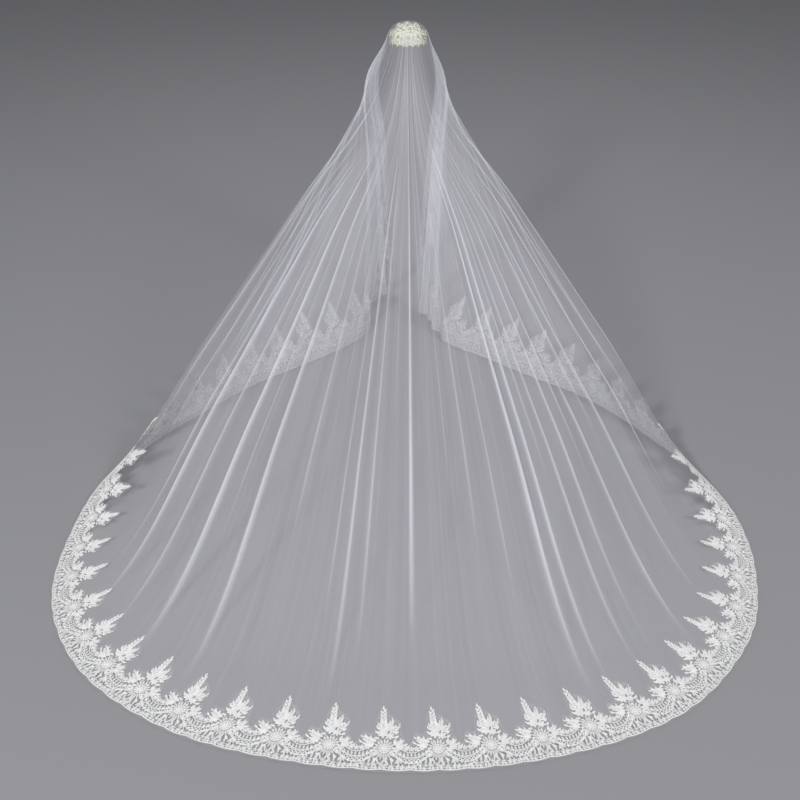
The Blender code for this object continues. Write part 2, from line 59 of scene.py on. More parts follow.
FOLD_STEEPNESS = 0.12       # most that a fold rises for its width
CREASE_STEEPNESS = 1.8      # the same for a pinched crease and its half width

# One fall line of the cloth: angle on the cut, where it leaves the head (turn and rise, degrees),
# the shoulder point, how far it sags, how long it lies on the floor, and the hem point
Fall = namedtuple("Fall", "angle turn rise side back up sag land hem_side hem_back hem_up",
                  defaults=[FLAT_HEM])
FALLS = tuple(Fall(*row) for row in (
    (-90.0, -118, 12, -0.165, -0.085, 1.420, 0.00, 0.02, -0.078, -0.138, 0.340),
    (-88.0, -116, 13, -0.170, -0.083, 1.420, 0.00, 0.02, -0.086, -0.136, 0.180),
    (-84.4, -112, 15, -0.185, -0.078, 1.430, 0.00, 0.02, -0.108, -0.110, 0.060),
    (-79.5, -107, 17, -0.205, -0.060, 1.440, 0.00, 0.02, -0.165, -0.045, 0.012),
    (-73.6, -100, 19, -0.220, -0.020, 1.445, 0.00, 0.02, -0.265, 0.130),
    (-65.7, -90, 21, -0.222, 0.015, 1.445, 0.00, 0.02, -0.225, 0.410),
    (-59.4, -82, 22, -0.218, 0.035, 1.445, 0.00, 0.03, -0.355, 0.620),
    (-52.1, -73, 23, -0.211, 0.055, 1.445, 0.01, 0.03, -0.605, 0.850),
    (-45.6, -64, 24, -0.200, 0.075, 1.440, 0.02, 0.04, -0.875, 1.090),
    (-40.5, -57, 25, -0.188, 0.095, 1.440, 0.02, 0.05, -1.095, 1.360),
    (-36.9, -51, 26, -0.176, 0.115, 1.440, 0.02, 0.07, -1.275, 1.590),
    (-32.6, -45, 27, -0.158, 0.150, 1.435, 0.03, 0.12, -1.475, 1.960),
    (-28.1, -38, 28, -0.136, 0.190, 1.430, 0.04, 0.22, -1.525, 2.400),
    (-24.2, -32, 29, -0.116, 0.220, 1.430, 0.04, 0.28, -1.495, 2.730),
    (-18.6, -24, 31, -0.089, 0.250, 1.425, 0.05, 0.34, -1.295, 3.120),
    (-12.2, -16, 33, -0.060, 0.280, 1.420, 0.05, 0.40, -0.905, 3.420),
    (-5.5, -7, 35, -0.028, 0.298, 1.420, 0.05, 0.44, -0.425, 3.570),
    (0.0, 0, 36, 0.000, 0.302, 1.420, 0.05, 0.46, -0.010, 3.610),
    (7.1, 9, 35, 0.036, 0.295, 1.420, 0.05, 0.44, 0.505, 3.550),
    (10.8, 14, 33, 0.054, 0.285, 1.420, 0.05, 0.42, 0.765, 3.470),
    (14.6, 19, 32, 0.071, 0.270, 1.420, 0.05, 0.38, 1.015, 3.340),
    (18.4, 24, 31, 0.088, 0.252, 1.425, 0.05, 0.34, 1.225, 3.140),
    (22.1, 29, 30, 0.105, 0.234, 1.430, 0.04, 0.30, 1.385, 2.900),
    (24.8, 33, 29, 0.116, 0.216, 1.430, 0.04, 0.27, 1.455, 2.690),
    (28.0, 38, 28, 0.131, 0.190, 1.430, 0.04, 0.22, 1.500, 2.420),
    (31.1, 43, 27, 0.144, 0.162, 1.435, 0.03, 0.16, 1.485, 2.140),
    (33.8, 47, 27, 0.154, 0.142, 1.435, 0.03, 0.11, 1.400, 1.870),
    (36.9, 51, 26, 0.164, 0.118, 1.440, 0.02, 0.07, 1.265, 1.630),
    (41.1, 58, 25, 0.175, 0.094, 1.440, 0.02, 0.05, 1.095, 1.360),
    (44.5, 63, 24, 0.182, 0.078, 1.440, 0.02, 0.04, 0.940, 1.180),
    (49.5, 70, 23, 0.190, 0.060, 1.445, 0.01, 0.03, 0.715, 1.000),
    (56.7, 79, 22, 0.197, 0.040, 1.445, 0.00, 0.03, 0.455, 0.770),
    (63.6, 87, 21, 0.201, 0.022, 1.445, 0.00, 0.02, 0.240, 0.590),
    (68.8, 94, 20, 0.202, 0.000, 1.445, 0.00, 0.02, 0.180, 0.450),
    (75.0, 102, 18, 0.198, -0.030, 1.445, 0.00, 0.02, 0.150, 0.300),
    (79.5, 107, 17, 0.188, -0.060, 1.440, 0.00, 0.02, 0.110, 0.235, 0.012),
    (84.4, 112, 15, 0.172, -0.078, 1.430, 0.00, 0.02, 0.080, 0.190, 0.060),
    (88.0, 116, 13, 0.160, -0.083, 1.420, 0.00, 0.02, 0.066, 0.150, 0.180),
    (90.0, 118, 12, 0.155, -0.085, 1.420, 0.00, 0.02, 0.060, 0.100, 0.340),
))
# Soft folds along a fall line: angle and half width in degrees on the cut, start and end as shares
Fold = namedtuple("Fold", "angle half_width height start end")
FOLDS = tuple(Fold(*row) for row in (
    (-48.0, 3.2, 0.020, 0.15, 0.95),
    (-40.0, 2.6, 0.016, 0.12, 0.90),
    (-32.0, 2.4, 0.018, 0.20, 0.93),
    (-20.5, 2.0, 0.020, 0.15, 0.93),
    (-12.0, 1.9, 0.018, 0.25, 0.90),
    (-4.5, 1.8, 0.016, 0.12, 0.85),
    (0.5, 1.7, 0.014, 0.15, 0.80),
    (9.5, 1.9, 0.022, 0.12, 0.93),
    (15.5, 2.0, 0.020, 0.20, 0.93),
    (23.5, 2.3, 0.018, 0.15, 0.93),
    (32.5, 2.4, 0.016, 0.20, 0.90),
    (40.0, 3.0, 0.018, 0.12, 0.92),
    (50.0, 3.2, 0.018, 0.15, 0.95),
))

# Pinched creases: the tulle stands up in a sharp ridge along a fall line.
# angle and width in degrees on the cut, start and end as shares of the line, height in metres,
# glow is how much closer the net lies in the pinch
Crease = namedtuple("Crease", "angle width start end height glow")
CREASES = tuple(Crease(*row) for row in (
    (-44.0, 0.16, 0.16, 0.80, 0.008, 1.6),
    (-42.6, 0.20, 0.14, 0.97, 0.012, 2.6),
    (-40.2, 0.16, 0.18, 0.90, 0.010, 1.8),
    (-37.5, 0.18, 0.14, 0.92, 0.010, 1.6),
    (-34.2, 0.14, 0.22, 0.86, 0.008, 1.2),
    (-30.4, 0.16, 0.12, 0.90, 0.010, 1.5),
    (-27.0, 0.13, 0.20, 0.84, 0.008, 1.0),
    (-24.2, 0.14, 0.24, 0.66, 0.008, 1.3),
    (-22.1, 0.15, 0.20, 0.90, 0.010, 1.8),
    (-20.6, 0.19, 0.26, 0.94, 0.014, 3.2),
    (-18.4, 0.14, 0.40, 0.95, 0.009, 2.0),
    (-17.2, 0.11, 0.18, 0.60, 0.006, 1.3),
    (-15.9, 0.20, 0.22, 0.95, 0.016, 4.4),
    (-14.4, 0.10, 0.35, 0.80, 0.006, 1.2),
    (-12.4, 0.19, 0.25, 0.95, 0.016, 3.8),
    (-10.6, 0.10, 0.20, 0.55, 0.005, 0.9),
    (-8.9, 0.13, 0.30, 0.76, 0.008, 1.6),
    (-6.9, 0.10, 0.18, 0.60, 0.005, 0.9),
    (-5.5, 0.10, 0.48, 0.84, 0.006, 1.3),
    (-4.4, 0.16, 0.22, 0.93, 0.012, 2.9),
    (-3.1, 0.13, 0.25, 0.88, 0.010, 2.1),
    (-1.4, 0.09, 0.14, 0.62, 0.005, 0.9),
    (0.15, 0.17, 0.08, 0.86, 0.014, 5.0),
    (1.6, 0.09, 0.12, 0.50, 0.005, 1.1),
    (3.5, 0.10, 0.46, 0.70, 0.005, 1.0),
    (5.3, 0.12, 0.30, 0.78, 0.006, 1.4),
    (7.4, 0.10, 0.52, 0.82, 0.005, 1.1),
    (8.8, 0.09, 0.16, 0.56, 0.005, 1.0),
    (10.1, 0.18, 0.16, 0.95, 0.016, 4.2),
    (11.3, 0.15, 0.20, 0.95, 0.013, 3.4),
    (12.4, 0.11, 0.22, 0.72, 0.007, 1.8),
    (13.4, 0.14, 0.26, 0.94, 0.010, 2.4),
    (14.8, 0.14, 0.24, 0.88, 0.010, 2.2),
    (16.1, 0.12, 0.22, 0.74, 0.008, 1.8),
    (17.5, 0.13, 0.60, 0.95, 0.010, 1.7),
    (19.2, 0.13, 0.20, 0.70, 0.008, 1.9),
    (20.5, 0.14, 0.26, 0.92, 0.010, 2.2),
    (24.6, 0.13, 0.24, 0.86, 0.008, 1.5),
    (28.3, 0.14, 0.16, 0.82, 0.008, 1.3),
    (32.4, 0.14, 0.20, 0.90, 0.008, 1.4),
    (36.2, 0.15, 0.14, 0.88, 0.009, 1.4),
    (40.4, 0.16, 0.16, 0.92, 0.010, 1.8),
    (43.6, 0.18, 0.14, 0.95, 0.012, 2.4),
    (46.2, 0.16, 0.14, 0.90, 0.010, 1.8),
    (49.6, 0.15, 0.12, 0.84, 0.009, 1.4),
))

RAY_SAMPLES = 400           # points along one fall line
LINE_STEP = 0.125           # degrees on the cut between two fall lines
TINY = 1e-9                 # smaller than any length here: keeps divisions finite


def ramp(value, start, end):
    """0 at start and 1 at end, even between and level beyond."""
    return np.clip((value - start) / (end - start), 0.0, 1.0)


def length_along(points):
    """Length along a line of points, at each of them."""
    return np.concatenate([[0.0], np.cumsum(np.linalg.norm(np.diff(points, axis=0), axis=1))])


def unit(vectors):
    return vectors / np.maximum(np.linalg.norm(vectors, axis=-1, keepdims=True), TINY)


def reach(angle):
    """Length on the flat cut from the pin to the outline, for an array of angles."""
    turn = np.radians(np.abs(np.asarray(angle, float)))
    straight = CUT_LENGTH - CUT_END
    side = CUT_HALF_WIDTH / np.maximum(np.sin(turn), TINY)
    a = (np.sin(turn) / CUT_HALF_WIDTH) ** 2 + (np.cos(turn) / CUT_END) ** 2
    b = -2 * np.cos(turn) * straight / CUT_END**2
    c = (straight / CUT_END) ** 2 - 1
    ellipse = (-b + np.sqrt(np.maximum(b * b - 4 * a * c, 0.0))) / (2 * a)
    x, y = CUT_HALF_WIDTH - CUT_CORNER, CUT_CORNER
    along = x * np.sin(turn) + y * np.cos(turn)
    corner = along + np.sqrt(np.maximum(CUT_CORNER**2 - (x * x + y * y - along**2), 0.0))
    out = np.where(side * np.cos(turn) <= straight, side, ellipse)
    return np.where(side * np.cos(turn) < CUT_CORNER, corner, out)


def smooth(x, y, at):
    """Cubic curve through the points (x, y), read at the values at."""
    step = np.diff(x)[:, None]
    rate = np.diff(y, axis=0) / step
    inner = (rate[:-1] * step[1:] + rate[1:] * step[:-1]) / (step[1:] + step[:-1])
    m = np.vstack([rate[:1], inner, rate[-1:]])
    i = np.clip(np.searchsorted(x, at, side="right") - 1, 0, len(x) - 2)
    h = (x[i + 1] - x[i])[:, None]
    t = (at - x[i])[:, None] / h
    start = (1 + 2 * t) * (1 - t) ** 2 * y[i] + t * (1 - t) ** 2 * h * m[i]
    finish = t * t * (3 - 2 * t) * y[i + 1] + t * t * (t - 1) * h * m[i + 1]
    return start + finish


def head_direction(turn, rise):
    turn, rise = radians(turn), radians(rise)
    return np.array([sin(turn) * cos(rise), cos(turn) * cos(rise), sin(rise)])


def bulged(way):
    """Unit vectors moved out to the head's fuller round."""
    return way / (np.abs(way) ** HEAD_BULGE).sum(axis=-1, keepdims=True) ** (1 / HEAD_BULGE)


FALL_TABLE = np.array(FALLS)


def fall_line(angle):
    """Points (side, back, up) evenly spaced along one fall line, pin to hem."""
    f = Fall(*smooth(FALL_TABLE[:, 0], FALL_TABLE, np.array([angle]))[0])
    pin = head_direction(180.0, PIN_ELEVATION)
    leave = head_direction(f.turn, f.rise)
    sweep = np.arccos(np.clip(pin @ leave, -1.0, 1.0))
    k = np.linspace(0.0, 1.0, 9)[:, None]
    over = (np.sin((1 - k) * sweep) * pin + np.sin(k * sweep) * leave) / np.sin(sweep)
    over = bulged(over) * HEAD_ROUND + np.array([0.0, 0.0, HEAD_CENTRE_UP])
    shoulder = np.array([f.side, f.back, f.up])
    hem = np.array([f.hem_side, f.hem_back, f.hem_up])
    back_along = shoulder - hem
    back_along[2] *= max(1.0 - f.land / FLAT_LANDING, 0.0)
    landing = hem + back_along / np.linalg.norm(back_along) * f.land
    sag = np.array([0.0, 0.0, f.sag])
    third = (landing - shoulder) / 3
    points = np.vstack([over, shoulder, shoulder + third - sag * UPPER_SAG,
                        landing - third - sag, landing, hem])
    chord = length_along(points)
    fine = smooth(chord, points, np.linspace(0.0, chord[-1], RAY_SAMPLES))
    length = length_along(fine)
    even = np.linspace(0.0, length[-1], RAY_SAMPLES)
    return np.stack([np.interp(even, length, fine[:, i]) for i in range(3)], axis=-1)


def make_tables():
    """Position, outward direction and closeness of the cloth on an even grid of lines."""
    angles = np.arange(-90.0, 90.0 + LINE_STEP / 2, LINE_STEP)
    lines = np.array([fall_line(a) for a in angles])
    place = np.stack([lines[..., 0], -lines[..., 1], lines[..., 2] - CROWN_UP], axis=-1)
    across = np.gradient(place, axis=0)
    along = np.gradient(place, axis=1)
    out = np.cross(along, across)
    out[:, :6] = out[:, 6:7]
    out = unit(out)
    out[:, 0] = [0.0, cos(radians(PIN_ELEVATION)), sin(radians(PIN_ELEVATION))]
    width = np.linalg.norm(across, axis=-1)
    shares = np.linspace(0.0, 1.0, RAY_SAMPLES)
    flat = radians(LINE_STEP) * reach(angles)[:, None] * shares[None, :]
    gather = np.clip(flat / np.maximum(width, TINY), 0.6, 3.0)
    gather[:, :3] = gather[:, 3:4]
    return place, out, width / LINE_STEP, gather


PLACE, OUT, WIDTH, GATHER = make_tables()


def read(table, angle, share):
    """A table between its grid points, for arrays of angles and shares."""
    a = (np.clip(angle, -90.0, 90.0) + 90.0) / LINE_STEP
    i = np.clip(a.astype(int), 0, table.shape[0] - 2)
    s = np.clip(share, 0.0, 1.0) * (RAY_SAMPLES - 1)
    j = np.clip(s.astype(int), 0, RAY_SAMPLES - 2)
    p, q = a - i, s - j
    if table.ndim == 3:
        p, q = p[..., None], q[..., None]
    low = table[i, j] * (1 - q) + table[i, j + 1] * q
    high = table[i + 1, j] * (1 - q) + table[i + 1, j + 1] * q
    return low * (1 - p) + high * p


def run_of(share, start, end):
    """0 outside start to end, rising softly to 1 between."""
    return np.sin(pi * ramp(share, start, end)) ** 0.7


def fold_height(angle, share):
    total = np.zeros(np.broadcast(angle, share).shape)
    for f in FOLDS:
        off = np.abs(angle - f.angle) / f.half_width
        room = 2 * f.half_width * read(WIDTH, np.full_like(share, f.angle), share) * FOLD_STEEPNESS
        bump = np.where(off < 1, 0.5 + 0.5 * np.cos(pi * np.minimum(off, 1.0)), 0.0)
        total += np.minimum(f.height, room) * run_of(share, f.start, f.end) * bump
    return total


def pinch(crease, angle, share):
    """How far up a crease this point is, 0 to 1."""
    off = (angle - crease.angle) / crease.width
    run = ramp(share, crease.start, crease.end)
    ends = ramp(run, 0.0, 0.12) * ramp(run, 1.0, 0.75)
    return np.exp(-np.abs(off) ** 1.5 * 1.4) * ends


def crease_height(angle, share):
    total = np.zeros(np.broadcast(angle, share).shape)
    for c in CREASES:
        room = c.width * CREASE_STEEPNESS * read(WIDTH, np.full_like(share, c.angle), share)
        total += np.minimum(c.height, room) * pinch(c, angle, share)
    return total


# Gathers: period in degrees on the cut, phase, share of the whole
Ripple = namedtuple("Ripple", "period phase weight")
RIPPLES = (Ripple(2.3, 0.4, 0.45), Ripple(3.1, 2.1, 0.55), Ripple(4.3, 4.0, 0.35))
FRONT_RIPPLES = (Ripple(5.6, 1.3, 0.85), Ripple(3.7, 3.6, 0.35))
FRONT_FROM = 58.0           # beyond this angle the cloth hangs in the looser folds of the front


def gathers(ripples, angle, share):
    """Waves that take up the width that the cut has and the place it hangs in has not."""
    spare = np.clip(read(GATHER, angle, share) - 1.0, 0.0, 1.2)
    width = read(WIDTH, angle, share)
    total = 0.0
    for r in ripples:
        wave = np.sin(2 * pi * angle / r.period + r.phase + 0.7 * np.sin(2.5 * share + r.phase))
        total = total + wave * r.weight * r.period * width / pi
    return total * np.sqrt(spare) * ramp(share, 0.0, 0.04)


def ripple_height(angle, share):
    front = ramp(np.abs(angle), FRONT_FROM, FRONT_FROM + 10.0)
    back = gathers(RIPPLES, angle, share) * ramp(share, 0.9, 0.6)
    return back * (1 - front) * 0.8 + gathers(FRONT_RIPPLES, angle, share) * front


def cloth(angle, share, fine=True):
    """Points on the draped tulle and the way out of it."""
    angle, share = np.broadcast_arrays(np.asarray(angle, float), np.asarray(share, float))
    out = unit(read(OUT, angle, share))
    up = fold_height(angle, share) + ripple_height(angle, share)
    if fine:
        up = up + crease_height(angle, share)
    point = read(PLACE, angle, share) + out * up[..., None]
    point[..., 2] = np.maximum(point[..., 2], FLOOR + FLOOR_GAP)
    return point, out


# ---- mesh helpers
def add_object(name, data):
    obj = bpy.data.objects.new(name, data)
    bpy.context.scene.collection.objects.link(obj)
    return obj


def make_mesh(name, points, faces, material):
    mesh = bpy.data.meshes.new(name)
    mesh.from_pydata(np.asarray(points).reshape(-1, 3).tolist(), [], [tuple(f) for f in faces])
    mesh.shade_smooth()
    mesh.materials.append(material)
    obj = add_object(name, mesh)
    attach(obj, "root")
    return obj


def grid_faces(columns, rows):
    """Faces between the points of a grid, which are listed column by column."""
    i, j = np.meshgrid(np.arange(columns - 1), np.arange(rows - 1), indexing="ij")
    a = (i * rows + j).ravel()
    return np.stack((a, a + 1, a + rows + 1, a + rows), axis=-1)


def add_attribute(mesh, name, values):
    layer = mesh.attributes.new(name, "FLOAT", "POINT")
    layer.data.foreach_set("value", np.asarray(values, np.float32).ravel())


def add_uv(mesh, name, per_vertex):
    layer = mesh.uv_layers.new(name=name)
    loops = np.empty(len(mesh.loops), np.int32)
    mesh.loops.foreach_get("vertex_index", loops)
    layer.data.foreach_set("uv", np.asarray(per_vertex, np.float32)[loops].ravel())


# ---- tulle
NET_OPACITY = 0.15          # share of the light that one layer of this net stops
COLUMN_STEP = 0.32          # degrees on the cut between two columns of points
CREASE_STOPS = (-1.6, -0.7, 0.0, 0.7, 1.6)      # columns over a crease, in widths of it
CLOSEST_COLUMNS = 0.03
ROW_STRETCHES = ((0.0, 0.10, 30), (0.10, 0.22, 18), (0.22, 0.90, 46))   # share from, to, rows
LAST_ROWS = (0.90, 1.0, 16)


def tulle_columns():
    angles = list(np.arange(-90.0, 90.01, COLUMN_STEP))
    for c in CREASES:
        angles += [c.angle + c.width * k for k in CREASE_STOPS]
    angles = np.unique(np.round(np.clip(angles, -90.0, 90.0), 4))
    keep = [angles[0]]
    for a in angles[1:]:
        if a - keep[-1] > CLOSEST_COLUMNS:
            keep.append(a)
    return np.array(keep)


def tulle_rows():
    stretches = [np.linspace(*stretch, endpoint=False) for stretch in ROW_STRETCHES]
    return np.concatenate(stretches + [np.linspace(*LAST_ROWS)])


def net_layers(angle, share):
    """How many layers of net lie over each point: gathers, the front drops and the creases."""
    drops = ramp(np.abs(angle), 62.0, 70.0) * ramp(share, 0.0, 0.25) * (1 - 0.95 * ramp(share, 0.52, 0.77))
    over_head = 0.40 + 0.60 * ramp(share, 0.03, 0.13)
    glow = sum(c.glow * pinch(c, angle, share) for c in CREASES)
    return read(GATHER, angle, share) ** 0.9 * (1 + 2.3 * drops) * over_head + 1.2 * glow


def make_tulle(material):
    columns, rows = tulle_columns(), tulle_rows()
    angle, share = np.meshgrid(columns, rows, indexing="ij")
    obj = make_mesh("tulle", cloth(angle, share)[0], grid_faces(len(columns), len(rows)), material)
    mesh = obj.data
    add_attribute(mesh, "opacity", 1 - (1 - NET_OPACITY) ** net_layers(angle, share))
    add_attribute(mesh, "high", ramp(share, 0.42, 0.08))
    add_attribute(mesh, "spare", np.clip(read(GATHER, angle, share) - 0.9, 0.0, 1.5))
    radius = reach(angle) * share
    flat = np.stack([radius * np.sin(np.radians(angle)), radius * np.cos(np.radians(angle))], axis=-1)
    add_uv(mesh, "cut", flat.reshape(-1, 2))
    add_uv(mesh, "fan", np.stack([angle, share], axis=-1).reshape(-1, 2))
    return obj


# ---- lace edging
# One repeat of the edging lies round its own middle: u along the hem and v up from it, in
# millimetres. It is built from leaves, rings, cords and domes of raised thread.
LEAF_RUN = np.array([0.0, 0.20, 0.52, 0.82, 1.0])           # shares of a leaf's length
LEAF_HALF = np.array([0.12, 0.82, 1.0, 0.58, 0.05])         # half width at each of them
LEAF_ACROSS = np.array([-1.0, -0.62, 0.0, 0.62, 1.0])
LEAF_UP = np.array([0.1, 2.0, 0.9, 2.0, 0.1])               # height across a leaf
THREAD = np.array([0.1, 2.2, 0.1])                          # height across a cord or ring
DOME_OUT = np.array([0.02, 0.6, 1.0])
DOME_UP = np.array([3.2, 2.6, 0.1])
RING_STEPS = 12
DOME_STEPS = 8


class Repeat:
    """Collects points (u, v, height) and faces of one repeat, in millimetres."""

    def __init__(self):
        self.points, self.faces, self.count = [], [], 0

    def grid(self, points, closed=False):
        """points[along][across] -> faces between them."""
        n, m = points.shape[:2]
        self.points.append(points.reshape(-1, 3))
        for i in range(n if closed else n - 1):
            for j in range(m - 1):
                a, b = i * m + j, ((i + 1) % n) * m + j
                self.faces.append((self.count + a, self.count + b, self.count + b + 1, self.count + a + 1))
        self.count += n * m

    def leaf(self, u, v, angle, length, width, bend=0.0):
        """A leaf from (u, v) towards angle, degrees from up and + to the right."""
        turn = np.radians(angle + bend * LEAF_RUN)
        step = np.diff(LEAF_RUN, prepend=0.0) * length
        cu = u + np.cumsum(np.sin(turn) * step)
        cv = v + np.cumsum(np.cos(turn) * step)
        off = LEAF_HALF[:, None] * LEAF_ACROSS[None, :] * width / 2
        p = np.stack([cu[:, None] + np.cos(turn)[:, None] * off,
                      cv[:, None] - np.sin(turn)[:, None] * off,
                      np.broadcast_to(LEAF_UP, off.shape) * np.clip(width / 9.0, 0.6, 1.2)], axis=-1)
        self.grid(p)

    def cord(self, path, width):
        """A cord of thread along a path of (u, v)."""
        path = np.asarray(path, float)
        way = unit(np.gradient(path, axis=0))
        side = np.stack([way[:, 1], -way[:, 0]], axis=1) * width / 2
        lines = [np.column_stack([path + side * k, np.full(len(path), up)])
                 for k, up in zip((-1, 0, 1), THREAD)]
        self.grid(np.stack(lines, axis=1))

    def ring(self, u, v, outer, inner):
        self.turned(u, v, np.array([inner, (inner + outer) / 2, outer]), THREAD, RING_STEPS)

    def turned(self, u, v, radii, up, steps):
        """A form turned about its middle: its height at each of the radii."""
        turn = np.linspace(0, 2 * pi, steps, endpoint=False)[:, None]
        p = np.stack([u + np.sin(turn) * radii, v + np.cos(turn) * radii,
                      np.broadcast_to(up, (steps, len(up)))], axis=-1)
        self.grid(p, closed=True)

    def dome(self, u, v, radius):
        self.turned(u, v, DOME_OUT * radius, DOME_UP, DOME_STEPS)

    def flower(self, u, v, petals, length, width, centre):
        """A flower of petals round a domed centre."""
        for i in range(petals):
            turn = 360.0 * i / petals
            self.leaf(u + sin(radians(turn)) * centre * 0.6, v + cos(radians(turn)) * centre * 0.6,
                      turn, length, width)
        self.dome(u, v, centre)

    def spray(self, start, end, pairs, lengths, widths, spread):
        """Leaves in pairs along a stem, and one at its end."""
        start, end = np.array(start, float), np.array(end, float)
        angle = np.degrees(np.arctan2(*(end - start)))
        for i in range(pairs):
            t = i / pairs
            at = start + (end - start) * t
            length = lengths[0] + (lengths[1] - lengths[0]) * t
            width = widths[0] + (widths[1] - widths[0]) * t
            self.leaf(at[0], at[1], angle - spread, length, width, bend=18.0)
            at = at + (end - start) * 0.4 / pairs
            self.leaf(at[0], at[1], angle + spread, length, width, bend=-18.0)
        self.leaf(end[0], end[1], angle, lengths[1] * 1.1, widths[1])
        self.cord([start + (end - start) * k for k in np.linspace(0, 1, 7)], 2.6)


PITCH = 192.76              # length of one repeat, mm
HALF = PITCH / 2
EDGE_LOBE = 4.5             # depth of the small scallops of the hem, mm
HEM_PETALS = 20             # in one repeat: petals of the band along the hem
ROW_PETALS = 17             # petals of the row above it
FRINGE = 46                 # short threads of the hem
MEDAL = (5.0, 97.0)         # middle of the medallion
MEDAL_RADIUS = 22.0


def edge_line(u):
    """Height of the scalloped hem over the end of its fringe, mm."""
    return 12.0 - EDGE_LOBE * np.abs(np.sin(2 * pi * u / PITCH))


def swag_line(x):
    """Height of the chain that hangs between two medallions, x from its middle, mm."""
    return 43.0 + 47.0 * (np.abs(x) / 74.0) ** 2.2


